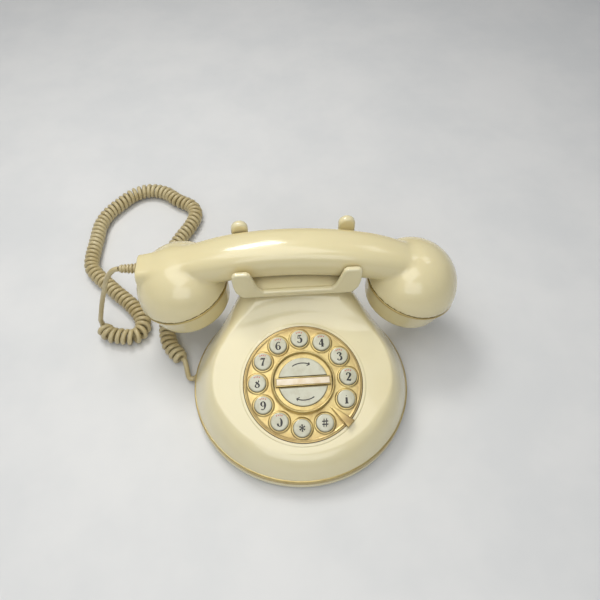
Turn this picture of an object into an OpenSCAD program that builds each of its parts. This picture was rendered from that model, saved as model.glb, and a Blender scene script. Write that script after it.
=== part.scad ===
// Desk telephone with push keys set round a fixed dial plate, a lift-off handset
// on a cradle, and a curly handset cord. Millimetres, +Z up. The origin is the
// middle of the round base, on the surface that the telephone stands on.

/* [Base] */
// Radius of the round base
base_r = 81; // [79:0.5:84]
// Height of the base tray's rim
base_h = 8.2; // [8.1:0.1:8.6]
// Wall thickness of the plastic housing
wall = 2.5; // [2:0.1:3]
// Height of the neck's top face, under the cradle
neck_z = 69.5; // [68.5:0.5:70]

/* [Dial] */
// Radius of the dial plate
dial_r = 41.7; // [41:0.1:42]
// Slope of the face that carries the dial, in degrees
dial_tilt = 16; // [14:0.5:18]
// Radius of the circle that the keys stand on
key_circle_r = 32; // [31.5:0.1:32.2]
// Radius of one round key
key_r = 6.1; // [5.6:0.1:6.2]

/* [Handset] */
// Half the width of the grip
grip_hw = 16.8; // [16:0.2:17.4]
// Half the height of the grip
grip_hh = 14.8; // [14:0.2:14.8]
// Height of the grip's centreline at its middle
grip_z0 = 94.3; // [94.3:0.1:96]
// Radius of the cups
cup_r = 35.3; // [34:0.1:35.5]
// Distance of each cup's centre from the middle
cup_x = 87; // [86:0.5:89]
// Tilt of each cup away from level, in degrees
cup_tilt = 14; // [10:1:16]
// Turn of the handset in its cradle, in degrees
handset_turn = -2.5; // [-2.5:0.5:0]

/* [Cradle] */
// Half the span over the front ears
ear_x = 45.7; // [44.7:0.5:46.7]

/* [Hidden] */

// colours
ivory = [0.90, 0.86, 0.68];
gold = [0.78, 0.63, 0.30];
key_white = [0.84, 0.85, 0.80];
dark = [0.16, 0.16, 0.17];
steel = [0.70, 0.71, 0.73];
board_green = [0.13, 0.40, 0.22];

// housing
foot_h = 2.5;
floor_z = 4.5;
trim_top = 13;
housing_r = base_r - 1;
dial_y = -21.2;
dial_z = 43.9;
dial_hole_r = dial_r + 0.5;
slope = tan(dial_tilt);
rise_from_y = 12;
rise_to_y = 46;
rise_ring = 22;
front_a = 63.3;
front_b = 54;
front_cy = -16;
neck_a = 30;
neck_b = 67;
flank_a = 47;
flank_b = 79.5;
front_roll = 4;
side_steps = 9;
face_steps = 9;
grid_n = 80;

screw_reach = 66;
back_boss_h = 34;
front_boss_h = 26;
jack_low = 17.6;
board_low = 13;
board_high = 14.6;
knob_z = 22;

// dial stack, heights above the face along the dial's own axis
plate_top = 1.2;
plate_low = -0.6;
key_top = 4.2;
key_low = -2.9;
ring_top = 6.4;
insert_top = 3.4;
center_key_top = 4.8;
mat_top = -4.8;
board_top = -6.2;
key_first = -25;
key_step = 29;
center_key_r = 17.2;
label_half = 3.9;
frame_screw_r = 43;

// cradle and hook
ear_top = 98.5;
rail_low = 73.5;
ear_front = 33.8;
ear_back = 37.8;
prong_front = 77.2;
prong_back = 83;
prong_top = 104.5;
prong_x = 39.5;
pin_y = 66;
pin_z = 52;
pin_r = 1.5;
plunger_y = 48;
guide_x = 28;
guide_y = 54;
guide_low = 62;
deck_h = 3.4;
deck_edge_h = 1.6;
deck_flat_x = 30.5;
deck_x = 40;

// handset
handset_x = 1.5;
handset_y = 57.8;
cup_z = 58.3;
dome_drop = 1.85;
end_x = 117.8;
cap_depth = 21.6;
relief_z = 79.3;
grip_left = -61.5;
arch_x = 78.9;
arch_drop = 13.3;

// cord
wire_r = 2;
curl_r = 7;
curl_z = 7.2;
grommet_y = 11;
grommet_z = 5.3;
grommet_r = 2.3;

//---------------------------------------------------------------- helpers

function smooth(t) = let (u = max(0, min(1, t))) u * u * (3 - 2 * u);
function mix(a, b, t) = a + (b - a) * t;

// triangles between rings of n points: a closed body from stacked rings
function ring_faces(rings, n) = [
    for (i = [0 : rings - 2], j = [0 : n - 1])
        let (a = i * n + j, b = i * n + (j + 1) % n)
        for (f = [[a, b, b + n], [a, b + n, a + n]]) f
];
function end_faces(rings, n) = [
    [for (j = [n - 1 : -1 : 0]) j],
    [for (j = [0 : n - 1]) (rings - 1) * n + j]
];

// the same faces seen from the other side
function flipped(faces) = [for (f = faces) [for (k = [len(f) - 1 : -1 : 0]) f[k]]];

// a ring round point p, square to the horizontal-and-up direction d
function ring_at(p, d, r, n) =
    let (t = d / norm(d))
    let (s = abs(t[2]) > 0.95 ? [1, 0, 0] : cross(t, [0, 0, 1]))
    let (u = s / norm(s))
    let (v = cross(u, t))
    [for (k = [0 : n - 1]) p + r * cos(360 * k / n) * u + r * sin(360 * k / n) * v];

// smooth curve through hand-set points, step rings between two points
function curve(p, i, t) =
    let (last = len(p) - 1)
    let (a = p[max(0, i - 1)], b = p[i], c = p[i + 1], d = p[min(last, i + 2)])
    0.5 * (2 * b + (c - a) * t + (2 * a - 5 * b + 4 * c - d) * t * t
        + (3 * b - a - 3 * c + d) * t * t * t);
function route(p, step) = concat(
    [for (i = [0 : len(p) - 2], k = [0 : step - 1]) curve(p, i, k / step)],
    [p[len(p) - 1]]
);

module tube(points, r, sides, step) {
    path = route(points, step);
    m = len(path);
    rings = [for (i = [0 : m - 1])
        ring_at(path[i], path[min(m - 1, i + 1)] - path[max(0, i - 1)], r, sides)];
    polyhedron(
        points = [for (ring = rings, q = ring) q],
        faces = concat(ring_faces(m, sides), end_faces(m, sides)),
        convexity = 10
    );
}

module turned(profile) {
    rotate_extrude($fn = 96) polygon(profile);
}

//---------------------------------------------------------------- housing shell

// height of the upper face: a slope that carries the dial, swept up to the neck
function face_plane(y) = dial_z + slope * (y - dial_y);
function face_z(x, y) =
    let (d = norm([x, y - dial_y]))
    let (s = smooth((y - rise_from_y) / (rise_to_y - rise_from_y)) * smooth((d - 42.5) / rise_ring))
    mix(face_plane(y), neck_z, s);

// plan outline of the upper face, as a distance from the origin at angle a
function front_reach(a) =
    let (c = cos(a) / front_a, s = sin(a) / front_b, k = front_cy / front_b)
    let (q = c * c + s * s, h = s * k)
    (h + sqrt(h * h + q * (1 - k * k))) / q;
function neck_reach(a, half, back) = sin(a) <= 0 ? 0
    : pow(pow(abs(cos(a)) / half, 6) + pow(sin(a) / back, 6), -1 / 6);
function union_reach(p, q) = pow(pow(p, 12) + pow(q, 12), 1 / 12);

// 1 where the face ends in a crease, 0 at the front where it rolls over softly
function crease(a) = smooth((sin(a) + 0.8) / 0.45);
// 1 in the neck, 0 round the face
function neck_share(a) = smooth((sin(a) - 0.45) / 0.3);
function crease_reach(a) = union_reach(front_reach(a), neck_reach(a, neck_a, neck_b))
    - front_roll * (1 - crease(a));
function shoulder_reach(a) =
    min(79.5, union_reach(front_reach(a) + mix(5, 8, crease(a)), neck_reach(a, flank_a, flank_b)));
function shoulder_drop(a) = mix(0, mix(5.5, 2.5, neck_share(a)), crease(a));

function face_point(a, reach, drop) =
    let (x = reach * cos(a), y = reach * sin(a))
    [x, y, face_z(x, y) - drop];

// one line of the grid, from the foot of the wall over the shoulder to the dial hole
function shell_line(a, t) =
    let (foot_r = housing_r - t)
    let (foot = [foot_r * cos(a), foot_r * sin(a), trim_top])
    let (shoulder = face_point(a, shoulder_reach(a) - t, shoulder_drop(a) + t))
    let (inner = face_point(a, crease_reach(a) - t, t))
    let (b = atan2(inner[1] - dial_y, inner[0]))
    let (hole = [dial_hole_r * cos(b), dial_y + dial_hole_r * cos(dial_tilt) * sin(b)])
    concat(
        [for (k = [0 : side_steps - 1])
            let (u = k / side_steps)
            (1 - u) * (1 - u) * foot + 2 * u * (1 - u) * shoulder + u * u * inner],
        [for (k = [0 : face_steps])
            let (u = k / face_steps)
            let (x = mix(inner[0], hole[0], u), y = mix(inner[1], hole[1], u))
            [x, y, face_z(x, y) - t]]
    );

module shell_body() {
    angles = [for (k = [0 : grid_n - 1]) 360 * k / grid_n];
    outer = [for (a = angles) shell_line(a, 0)];
    inner = [for (a = angles) shell_line(a, wall)];
    m = len(outer[0]);
    rings = concat(
        [for (i = [0 : m - 1]) [for (j = [0 : grid_n - 1]) outer[j][i]]],
        [for (i = [m - 1 : -1 : 0]) [for (j = [0 : grid_n - 1]) inner[j][i]]]
    );
    count = len(rings);
    closing = [for (j = [0 : grid_n - 1])
        let (a = (count - 1) * grid_n + j, b = (count - 1) * grid_n + (j + 1) % grid_n)
        for (f = [[a, b, (j + 1) % grid_n], [a, (j + 1) % grid_n, j]]) f];
    polyhedron(
        points = [for (ring = rings, q = ring) q],
        faces = flipped(concat(ring_faces(count, grid_n), closing)),
        convexity = 8
    );
}

module housing_shell() {
    color(ivory)
    difference() {
        union() {
            shell_body();
            for (a = [45 : 90 : 315])
                rotate([0, 0, a]) translate([screw_reach, 0, floor_z + 0.5])
                    cylinder(h = a < 180 ? back_boss_h : front_boss_h, r = 4.5, $fn = 32);
        }
        for (a = [45 : 90 : 315])
            rotate([0, 0, a]) translate([screw_reach, 0, 0]) cylinder(h = 16, r = 1.5, $fn = 24);
        translate([0, plunger_y, neck_z - 6]) cylinder(h = 12, r = 3.6, $fn = 32);
        for (s = [-1, 1])
            translate([s * guide_x, guide_y, neck_z - 6]) cylinder(h = 12, r = 2.9, $fn = 32);
        // line socket and ringer switch openings in the back wall
        translate([-8.3, base_r - 14, jack_low - 0.3]) cube([16.6, 20, 14.6]);
        translate([23.5, base_r - 25, knob_z - 2.5]) cube([13, 30, 5]);
    }
}

//---------------------------------------------------------------- base

module base_plate() {
    color(ivory)
    difference() {
        turned([[0, foot_h - 0.1], [base_r - 1.6, foot_h - 0.1], [base_r - 0.5, foot_h + 0.5],
            [base_r - 0.2, foot_h + 1.3], [base_r - 0.2, base_h - 1.6], [base_r - 1.6, base_h - 1.3],
            [base_r - 1.6, base_h], [base_r - 0.6 - wall, base_h],
            [base_r - 3.4 - wall, floor_z], [0, floor_z]]);
        for (a = [45 : 90 : 315])
            rotate([0, 0, a]) translate([screw_reach, 0, 0]) cylinder(h = 6, r = 2.2, $fn = 24);
        translate([-base_r - 2, grommet_y, grommet_z]) rotate([0, 90, 0])
            cylinder(h = 12, r = grommet_r + 0.1, $fn = 32);
    }
}

module base_trim_ring() {
    color(gold)
    turned([[base_r - 5, base_h], [base_r - 0.4, base_h], [base_r, base_h + 0.5],
        [base_r, trim_top - 0.5], [base_r - 0.4, trim_top], [base_r - 5, trim_top]]);
}

module foot_ring() {
    color(dark)
    turned([[54, 0], [62, 0], [62, foot_h - 0.1], [54, foot_h - 0.1]]);
}

module base_screws() {
    color(steel)
    for (a = [45 : 90 : 315])
        rotate([0, 0, a]) translate([screw_reach, 0, foot_h - 0.1]) {
            cylinder(h = 10, r = 1.5, $fn = 24);
            cylinder(h = 1.4, r = 2.1, $fn = 24);
        }
}

module ballast_plate() {
    color(steel) translate([-30, -62, floor_z]) cube([60, 26, 6]);
}

module main_board() {
    color(board_green) {
        translate([-41, -8, board_low]) cube([82, 60, board_high - board_low]);
        for (x = [-37, 37], y = [-4, 48])
            translate([x, y, floor_z]) cylinder(h = board_low - floor_z, r = 2.5, $fn = 24);
    }
}

module sounder() {
    color(dark) translate([26, 6, board_high]) turned([[0, 0], [13, 0], [13, 5], [2, 5], [2, 4], [0, 4]]);
}

module line_jack() {
    color(dark)
    difference() {
        translate([-8, base_r - 24, jack_low]) cube([16, 22, 14]);
        translate([-5.8, base_r - 16, jack_low + 2.4]) cube([11.6, 20, 8]);
    }
}

module ringer_switch_body() {
    color(dark)
    difference() {
        translate([20, base_r - 32, board_high]) cube([20, 8, 12]);
        translate([24, base_r - 27, knob_z - 2.3]) cube([12, 4, 4.6]);
    }
}

module ringer_switch_knob() {
    color(ivory) translate([28, base_r - 26.5, knob_z - 1.8]) cube([4, 23.5, 3.6]);
}

//---------------------------------------------------------------- dial

module on_dial() {
    translate([0, dial_y, dial_z]) rotate([dial_tilt, 0, 0]) children();
}
module at_key(i) {
    a = key_first + key_step * i;
    on_dial() translate([key_circle_r * cos(a), key_circle_r * sin(a), 0]) children();
}

module dial_plate() {
    color(gold)
    difference() {
        union() {
            on_dial() turned([[20, plate_low], [dial_r, plate_low], [dial_r, plate_top - 0.6],
                [dial_r - 0.8, plate_top], [20, plate_top]]);
            for (i = [0 : 11])
                at_key(i) translate([0, 0, plate_low])
                    cylinder(h = plate_top - plate_low + 0.6, r = key_r + 1.2, $fn = 48);
        }
        for (i = [0 : 11])
            at_key(i) translate([0, 0, plate_low - 1]) cylinder(h = 5, r = key_r + 0.3, $fn = 48);
    }
}

module dial_center_ring() {
    color(gold)
    on_dial() turned([[20.4, plate_top], [22.6, plate_top], [22.6, plate_top + 2.6],
        [22.1, ring_top - 0.4], [21.5, ring_top], [20.9, ring_top - 0.3], [20.4, ring_top - 1.4]]);
}

module center_insert() {
    color(gold)
    on_dial() difference() {
        turned([[0, plate_low], [19.9, plate_low], [19.9, plate_top], [20.3, plate_top],
            [20.3, insert_top], [0, insert_top]]);
        for (s = [0, 180])
            rotate([0, 0, s]) translate([0, 0, plate_low - 1])
                linear_extrude(8) half_moon(center_key_r + 0.3, label_half - 0.3);
    }
}

module half_moon(r, cut) {
    intersection() {
        circle(r = r, $fn = 96);
        translate([-r, cut]) square([2 * r, r]);
    }
}

module center_key(turn) {
    color(key_white)
    on_dial() rotate([0, 0, turn]) {
        translate([0, 0, key_low + 1.2]) linear_extrude(center_key_top - key_low - 1.2)
            half_moon(center_key_r, label_half);
        translate([0, 0, key_low]) linear_extrude(1.3) half_moon(center_key_r + 1.4, label_half - 1);
    }
}
module redial_key() { center_key(0); }
module recall_key() { center_key(180); }

module label_bar() {
    color(gold)
    on_dial() difference() {
        translate([-19.2, -3.1, insert_top]) cube([38.4, 6.2, 2.6]);
        translate([-18.6, -2.5, insert_top + 1.9]) cube([37.2, 5, 2]);
    }
}
module label_card() {
    color([0.95, 0.92, 0.84])
    on_dial() translate([-18.5, -2.4, insert_top + 1.9]) cube([37, 4.8, 0.6]);
}

module finger_stop() {
    color(gold)
    on_dial() rotate([0, 0, key_first - key_step * 0.7]) {
        translate([0, 0, plate_top])
            linear_extrude(1.4) polygon([[25, -0.5], [40, -3.2], [40, 3.2], [25, 0.5]]);
        translate([0, 0, plate_top + 1.4])
            linear_extrude(1.6) polygon([[27, -0.7], [44, -3.4], [44, 3.4], [27, 0.7]]);
    }
}

module round_key(i) {
    color(key_white)
    at_key(i) turned([[0, key_low], [key_r + 0.9, key_low], [key_r + 0.9, key_low + 1.2],
        [key_r, key_low + 1.2], [key_r, key_top - 0.9], [key_r - 0.3, key_top - 0.4],
        [key_r - 0.9, key_top - 0.1], [2.6, key_top], [0, key_top]]);
}
module key_1() { round_key(0); }
module key_2() { round_key(1); }
module key_3() { round_key(2); }
module key_4() { round_key(3); }
module key_5() { round_key(4); }
module key_6() { round_key(5); }
module key_7() { round_key(6); }
module key_8() { round_key(7); }
module key_9() { round_key(8); }
module key_0() { round_key(9); }
module key_star() { round_key(10); }
module key_hash() { round_key(11); }

module frame_screw_holes() {
    for (a = [60 : 60 : 360])
        rotate([0, 0, a]) translate([frame_screw_r, 0, -9]) cylinder(h = 4.4, r = 1.1, $fn = 24);
}
module keypad_frame() {
    color(dark)
    on_dial() difference() {
        turned([[39.6, board_top], [44.5, board_top], [44.5, -4.6], [42.6, -3.2], [41.3, -3.2],
            [41.3, plate_low], [39.6, plate_low]]);
        frame_screw_holes();
    }
}
module keypad_mat() {
    color([0.45, 0.45, 0.46])
    on_dial() translate([0, 0, board_top]) cylinder(h = mat_top - board_top, r = 39.4, $fn = 96);
}
module keypad_board() {
    color(board_green)
    on_dial() difference() {
        translate([0, 0, board_top - 1.6]) cylinder(h = 1.6, r = 44.5, $fn = 96);
        frame_screw_holes();
    }
}
module keypad_screws() {
    color(steel)
    on_dial() for (a = [60 : 60 : 360])
        rotate([0, 0, a]) translate([frame_screw_r, 0, 0]) {
            translate([0, 0, board_top - 3]) cylinder(h = 1.4, r = 1.9, $fn = 24);
            translate([0, 0, board_top - 1.6]) cylinder(h = 3.1, r = 0.9, $fn = 24);
        }
}
module keypad_ribbon() {
    color([0.75, 0.75, 0.78])
    translate([-32, 0, 0]) rotate([90, 0, 90])
        linear_extrude(14) polygon([[-12, 37.9], [-3.8, 40.3], [-3.8, board_high], [-3, board_high],
            [-3, 40.9], [-12, 38.3]]);
}

//---------------------------------------------------------------- cradle and hook

// front view of the rail: a shallow U with two upright ears
rail_right = [
    [ear_x - 7, rail_low], [ear_x - 4.2, rail_low + 2.3], [ear_x - 1.7, rail_low + 6.3],
    [ear_x - 0.4, rail_low + 12.5], [ear_x, rail_low + 18.5], [ear_x - 0.3, ear_top - 2],
    [ear_x - 2.2, ear_top - 0.2], [ear_x - 3.9, ear_top], [ear_x - 10.8, ear_top],
    [ear_x - 12.8, ear_top - 1.6], [ear_x - 17.1, rail_low + 10.9],
    [ear_x - 18.8, rail_low + 7.6], [ear_x - 21.4, rail_low + 5.3]
];
module rail_outline() {
    last = len(rail_right) - 1;
    polygon(concat(rail_right, [for (k = [last : -1 : 0]) [-rail_right[k][0], rail_right[k][1]]]));
}
module prong_outline() {
    translate([0, prong_top - 6.2]) circle(r = 6.2, $fn = 48);
    translate([-6.2, rail_low]) square([12.4, prong_top - 6.2 - rail_low]);
}
module along_y(y, depth) {
    translate([0, y + depth, 0]) rotate([90, 0, 0]) linear_extrude(depth) children();
}

module cradle() {
    color(ivory) {
        difference() {
            union() {
                along_y(ear_front, ear_back - ear_front) rail_outline();
                // deck, thinner towards its sides, where the grip comes down to it
                along_y(ear_back - 1, prong_back - ear_back + 1)
                    polygon([[-deck_x, rail_low], [deck_x, rail_low], [deck_x, rail_low + deck_edge_h],
                        [deck_flat_x, rail_low + deck_h], [-deck_flat_x, rail_low + deck_h],
                        [-deck_x, rail_low + deck_edge_h]]);
                // convex saddle between the ears
                intersection() {
                    along_y(ear_back - 1, 41) polygon([[-26, 75], [26, 75], [26, 77.2], [13, 78.6],
                        [0, 79.1], [-13, 78.6], [-26, 77.2]]);
                    translate([-30, 0, 0]) rotate([90, 0, 90])
                        linear_extrude(60) polygon([[36, 74], [78, 74], [78, 77], [68, 78.4],
                            [57, 79.1], [46, 79], [36, 78.2]]);
                }
                for (s = [-1, 1])
                    translate([s * prong_x, 0, 0])
                        along_y(prong_front, prong_back - prong_front) prong_outline();
            }
            translate([0, plunger_y, rail_low - 1]) cylinder(h = 3.8, r = 7.4, $fn = 48);
        }
        translate([0, plunger_y, pin_z + 2.4])
            cylinder(h = rail_low + 3.2 - pin_z - 2.4, r = 3, $fn = 32);
        for (s = [-1, 1])
            translate([s * guide_x, guide_y, guide_low])
                cylinder(h = rail_low + 2 - guide_low, r = 2.4, $fn = 32);
    }
}

module hook_spring() {
    turns = 4;
    low = neck_z + 0.7;
    high = rail_low + 2.1;
    steps = turns * 14;
    path = [for (k = [0 : steps])
        let (a = 360 * turns * k / steps)
        [5.6 * cos(a), plunger_y + 5.6 * sin(a), mix(low, high, k / steps)]];
    rings = [for (k = [0 : steps])
        ring_at(path[k], path[min(steps, k + 1)] - path[max(0, k - 1)], 0.5, 6)];
    color(steel)
    polyhedron(points = [for (ring = rings, q = ring) q],
        faces = concat(ring_faces(steps + 1, 6), end_faces(steps + 1, 6)), convexity = 10);
}

module hook_bracket() {
    color(dark)
    difference() {
        union() {
            translate([-12, 44, board_high]) cube([24, 8, 3]);
            translate([-12, 52, 5]) cube([24, 18, jack_low - 5]);
            for (s = [-1, 1])
                translate([s * 10.5 - 1.5, 60, board_high]) cube([3, 10, 42]);
        }
        translate([-14, pin_y, pin_z]) rotate([0, 90, 0]) cylinder(h = 28, r = pin_r, $fn = 32);
    }
}
module hook_pin() {
    color(steel) translate([-12, pin_y, pin_z]) rotate([0, 90, 0]) cylinder(h = 24, r = pin_r, $fn = 32);
}
module hook_lever() {
    color([0.85, 0.85, 0.82])
    difference() {
        union() {
            translate([-5, 44, pin_z - 1.8]) cube([10, 20, 3.6]);
            translate([-8, pin_y, pin_z]) rotate([0, 90, 0]) cylinder(h = 16, r = 3.6, $fn = 48);
        }
        translate([-10, pin_y, pin_z]) rotate([0, 90, 0]) cylinder(h = 20, r = pin_r + 0.06, $fn = 48);
    }
}
module hook_switch() {
    color(dark) {
        translate([-5, 45, jack_low]) cube([10, 11, 27]);
        translate([0, 50, jack_low + 27]) cylinder(h = 4.4, r = 1.6, $fn = 24);
    }
}

//---------------------------------------------------------------- handset

function grip_z(x) = x > grip_left ? grip_z0 - arch_drop * pow(x / arch_x, 2)
    : let (t = grip_left - x)
        grip_z0 - arch_drop * pow(grip_left / arch_x, 2) - 0.263 * t + 0.00092 * t * t;
// share of the full section left at x: narrower at both ends, closing at the right
function grip_share(x) = mix(1, 0.72, smooth((abs(x) - 50) / 68))
    * sqrt(max(0.02, 1 - pow(max(0, x - 92) / 21, 2)));

function grip_ring(x, t, n) = [for (k = [0 : n - 1])
    let (a = 360 * k / n, e = 0.84)
    let (c = cos(a), s = sin(a))
    [x, (grip_hw * grip_share(x) - t) * sign(c) * pow(abs(c), e),
        grip_z(x) + (grip_hh * grip_share(x) - t) * sign(s) * pow(abs(s), e)]];

module grip_body(xs, t, n) {
    m = len(xs);
    polyhedron(
        points = [for (x = xs, q = grip_ring(x, t, n)) q],
        faces = flipped(concat(ring_faces(m, n), end_faces(m, n))),
        convexity = 6
    );
}

module in_handset() {
    translate([handset_x, handset_y, 0]) rotate([0, 0, handset_turn]) children();
}
module in_cup(s) {
    in_handset() translate([s * cup_x, 0, cup_z]) rotate([0, s * cup_tilt, 0]) children();
}
// a ball whose centre lies a little under the seam of the cup
module dome(r) {
    translate([0, 0, -dome_drop]) sphere(r = norm([r, dome_drop]), $fn = 64);
}
// the grip run over two balls, hollow, cut off level with the cups
module handset_shell() {
    outer_x = concat([-end_x, -end_x + 1.5], [for (k = [0 : 14]) -108 + 15 * k], [105, 109, 111]);
    inner_x = [for (k = [0 : 13]) -99 + 14 * k];
    color(ivory)
    difference() {
        union() {
            in_handset() grip_body(outer_x, 0, 18);
            for (s = [-1, 1]) in_cup(s) dome(cup_r);
        }
        in_handset() grip_body(inner_x, wall, 12);
        for (s = [-1, 1]) {
            in_cup(s) dome(cup_r - wall);
            in_cup(s) translate([0, 0, -40]) cylinder(h = 40, r = cup_r + 4, $fn = 64);
        }
        in_handset() translate([-end_x - 2, 0, relief_z]) rotate([0, 90, 0])
            cylinder(h = 24, r = 2.5, $fn = 32);
    }
}

module cap(s) {
    color(ivory)
    in_cup(s) difference() {
        turned([[0, -cap_depth], [cup_r - 8.4, -cap_depth], [cup_r - 5.8, -cap_depth + 1],
            [cup_r - 4.3, -cap_depth + 3.2], [cup_r - 0.5, -1.8], [cup_r - 0.5 - wall, -1.8],
            [cup_r - 4.3 - wall, -cap_depth + 3.8], [cup_r - 9.4, -cap_depth + wall],
            [0, -cap_depth + wall]]);
        translate([0, 0, -cap_depth - 1]) cylinder(h = 5, r = 1.2, $fn = 24);
        for (a = [0 : 60 : 300])
            rotate([0, 0, a]) translate([8, 0, -cap_depth - 1]) cylinder(h = 5, r = 1.2, $fn = 24);
    }
}
module ear_cap() { cap(1); }
module mouth_cap() { cap(-1); }

module trim_ring(s) {
    color(gold)
    in_cup(s) turned([[cup_r - 4, -1.8], [cup_r - 0.2, -1.8], [cup_r + 0.2, -1.4],
        [cup_r + 0.2, -0.4], [cup_r - 0.2, 0], [cup_r - 4, 0]]);
}
module ear_trim_ring() { trim_ring(1); }
module mouth_trim_ring() { trim_ring(-1); }

module receiver_capsule() {
    color(dark) in_cup(1) turned([[0, -17], [20, -17], [20, -11], [14, -7], [0, -7]]);
}
module microphone_capsule() {
    color(dark) in_cup(-1) translate([0, 0, -17]) cylinder(h = 6, r = 5, $fn = 48);
}
module capsule_gaskets() {
    color([0.3, 0.3, 0.3]) {
        in_cup(1) turned([[14, -cap_depth + wall], [18, -cap_depth + wall], [18, -17], [14, -17]]);
        in_cup(-1) turned([[3, -cap_depth + wall], [5, -cap_depth + wall], [5, -17], [3, -17]]);
    }
}
module handset_weight() {
    color(steel) in_handset() translate([-22, -7, grip_z0 - 10.9]) cube([44, 14, 9]);
}

module handset_cord_relief() {
    color(ivory)
    in_handset() translate([-end_x, 0, relief_z]) rotate([0, -90, 0]) {
        translate([0, 0, -14]) cylinder(h = 27, r = 2.3, $fn = 24);
        for (k = [0 : 4])
            translate([0, 0, 0.4 + 2.5 * k]) cylinder(h = 1.5, r = 3.9 - 0.2 * k, $fn = 32);
    }
}

//---------------------------------------------------------------- handset cord

// centre of the curl on the table, from the handset's tail to the base's tail
curl_route = [
    [-160, 66], [-153, 57], [-143, 54], [-133, 53], [-127, 59], [-127, 68], [-132, 78],
    [-141, 89], [-151, 99], [-162, 111], [-172, 122], [-178, 132], [-179, 147],
    [-178, 165], [-177, 183], [-172, 198], [-161, 213], [-149, 225], [-134, 230],
    [-118, 225], [-106, 214], [-92, 204], [-88, 192], [-92, 178], [-99, 165],
    [-106, 150], [-110, 132], [-112, 112], [-110, 90], [-107, 70], [-106, 55],
    [-103, 43], [-97, 34], [-91, 28]
];
upper_tail = [
    [-129.7, 63.5, 79.3], [-134.5, 63.9, 77.3], [-140.5, 64.2, 69.5], [-146, 64.8, 56],
    [-151.5, 65.4, 41], [-156, 65.8, 27], [-159.6, 66, 15.2]
];
lower_tail = [
    [-90.3, 26.9, 7.2], [-89, 22, 6], [-87.8, 16, 5.4], [-86, 11.6, 5.3], [-82.7, 11, 5.3]
];

module cord_curl() {
    color(ivory) tube([for (p = curl_route) [p[0], p[1], curl_z]], curl_r, 8, 1);
}
module cord_tail_upper() {
    color(ivory) tube(upper_tail, wire_r, 8, 2);
}
module cord_tail_lower() {
    color(ivory) tube(lower_tail, wire_r, 8, 2);
}
module cord_grommet() {
    color(ivory)
    translate([-base_r + 5, grommet_y, grommet_z]) rotate([0, -90, 0])
        turned([[0, 0], [grommet_r, 0], [grommet_r, 4.8], [grommet_r + 0.9, 5], [grommet_r + 0.8, 5.8],
            [grommet_r + 0.2, 6.4], [0, 6.4]]);
}

housing_shell();
base_plate();
base_trim_ring();
foot_ring();
base_screws();
dial_plate();
dial_center_ring();
center_insert();
label_bar();
label_card();
finger_stop();
keypad_frame();
keypad_mat();
keypad_board();
keypad_screws();
keypad_ribbon();
main_board();
sounder();
ballast_plate();
line_jack();
ringer_switch_body();
ringer_switch_knob();
hook_bracket();
hook_pin();
hook_lever();
hook_switch();
hook_spring();
cord_grommet();
cord_tail_lower();
cord_curl();
cord_tail_upper();
cradle();
key_1();
key_2();
key_3();
key_4();
key_5();
key_6();
key_7();
key_8();
key_9();
key_0();
key_star();
key_hash();
redial_key();
recall_key();
handset_shell();
ear_cap();
mouth_cap();
ear_trim_ring();
mouth_trim_ring();
receiver_capsule();
microphone_capsule();
capsule_gaskets();
handset_weight();
handset_cord_relief();
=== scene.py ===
import math

import bpy
import numpy as np
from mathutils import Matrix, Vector


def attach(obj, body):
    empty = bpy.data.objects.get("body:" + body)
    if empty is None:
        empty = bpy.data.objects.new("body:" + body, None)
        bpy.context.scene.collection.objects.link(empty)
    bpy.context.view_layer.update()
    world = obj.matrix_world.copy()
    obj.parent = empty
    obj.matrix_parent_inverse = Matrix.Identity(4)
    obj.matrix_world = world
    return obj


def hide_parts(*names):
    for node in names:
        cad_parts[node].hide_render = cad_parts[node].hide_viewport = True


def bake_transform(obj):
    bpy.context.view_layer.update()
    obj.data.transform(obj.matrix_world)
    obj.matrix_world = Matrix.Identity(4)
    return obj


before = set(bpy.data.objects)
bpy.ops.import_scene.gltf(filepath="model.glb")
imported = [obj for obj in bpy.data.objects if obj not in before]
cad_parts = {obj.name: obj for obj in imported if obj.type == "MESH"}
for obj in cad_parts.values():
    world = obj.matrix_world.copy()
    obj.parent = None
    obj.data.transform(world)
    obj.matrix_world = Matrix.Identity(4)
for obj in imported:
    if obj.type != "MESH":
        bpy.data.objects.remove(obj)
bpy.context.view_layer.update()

# The looks of an ivory push-key telephone. Shapes are worked out in millimetres in the
# frame's own axes, and become metres when a mesh is made.
MM = 0.001
UP = np.array([0.0, 0.0, 1.0])
SCENE = bpy.context.scene

# ---- sizes, as in the frame

BASE_R, BASE_H, TRIM_TOP, WALL, NECK_Z = 81.0, 8.2, 13.0, 2.5, 69.5
DIAL_Y, DIAL_Z, DIAL_TILT, DIAL_R = -21.2, 43.9, math.radians(16), 41.7
HOLE_R = DIAL_R + 0.5
SLOPE = math.tan(DIAL_TILT)
KEY_R, KEY_CIRCLE = 6.1, 32.0
KEY_FIRST, KEY_STEP = -25.0, 29.0
HANDSET_X, HANDSET_Y, HANDSET_TURN = 1.5, 57.8, math.radians(-2.5)
CUP_X, CUP_Z, CUP_R, CUP_TILT = 87.0, 58.3, 35.3, math.radians(14)
DOME_DROP, CAP_DEPTH = 1.85, 21.6
GRIP_HW, GRIP_HH, GRIP_Z0, END_X, RELIEF_Z = 16.8, 14.57, 94.3, 117.8, 79.3
GRIP_LEFT, ARCH_X, ARCH_DROP = -61.5, 78.9, 13.3
CURL_R, WIRE_R, CURL_Z, CURL_PITCH = 7.0, 2.0, 7.2, 4.9


# ---- small maths

def smooth(t):
    u = np.clip(t, 0, 1)
    return u * u * (3 - 2 * u)


def mix(a, b, t):
    return a + (b - a) * t


def soft_min(a, b, k):
    h = np.clip(0.5 + 0.5 * (b - a) / k, 0, 1)
    return mix(b, a, h) - k * h * (1 - h)


def soft_max(a, b, k):
    return -soft_min(-a, -b, k)


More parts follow.
